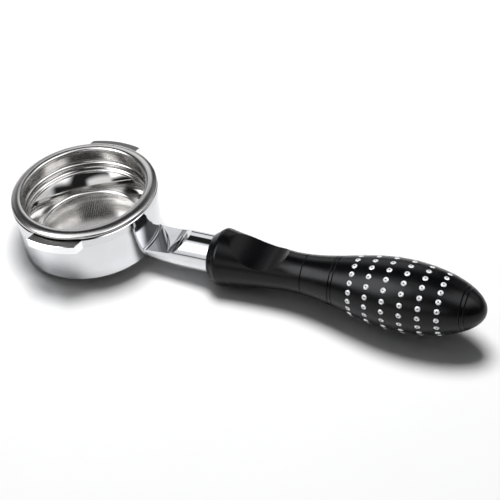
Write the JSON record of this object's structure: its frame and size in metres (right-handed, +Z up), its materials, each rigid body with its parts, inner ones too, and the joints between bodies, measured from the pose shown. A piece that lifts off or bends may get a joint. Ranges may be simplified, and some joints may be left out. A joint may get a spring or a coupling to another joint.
{
  "type": "portafilter",
  "caption": "Open-bottomed espresso portafilter: chromed bayonet ring with lift-out filter basket, short arm with a saddle cut, and a black waisted handle with a thumb scoop and a studded bulb",
  "frame": {"origin": "on the head ring's axis, in the plane of the ring's bottom face", "axes": "+Z up the head axis, out of the basket's mouth; +X towards the handle; +Y across, completing a right-handed frame"},
  "size_m": [0.2328, 0.0786, 0.0504],
  "materials": {
    "chromed_brass": "bright chrome plate over brass",
    "chromed_arm": "bright chrome plate over brass",
    "basket_steel": "pressed stainless steel, lightly brushed floor",
    "spring_wire": "drawn stainless spring wire",
    "plated_steel": "zinc plated",
    "brass_insert": "turned",
    "seal_rubber": "moulded",
    "grip_black": "satin black, fine lathe-turned grain",
    "ring_black": "black, slightly glossier than the grip",
    "stones": "foil-backed faceted clear glass"
  },
  "bodies": {
    "root": {"head_ring": "chromed_brass", "neck_arm": "chromed_arm", "handle_stud": "plated_steel", "locating_pin": "plated_steel", "neck_seal": "seal_rubber", "front_insert": "brass_insert", "front_grip": "grip_black", "grip_collar": "grip_black", "bulb_ring": "ring_black", "grip_bulb": "grip_black", "flat_washer": "plated_steel", "spring_washer": "plated_steel", "clamp_nut": "plated_steel", "cap_ring": "ring_black", "end_cap": "grip_black", "stone_ring_1": "stones", "stone_ring_2": "stones", "stone_ring_3": "stones", "stone_ring_4": "stones", "stone_ring_5": "stones", "stone_ring_6": "stones"},
    "spring": {"basket_spring": "spring_wire"},
    "basket": {"filter_basket": "basket_steel"}
  },
  "joints": [
    {"name": "basket_turn", "type": "hinge", "parent": "root", "child": "spring", "pos_m": [0, 0, 0.0209], "axis": [0, 0, 1], "continuous": true},
    {"name": "basket_lift", "type": "slide", "parent": "spring", "child": "basket", "axis": [0, 0, 1], "range_m": [0, 0.03]}
  ]
}
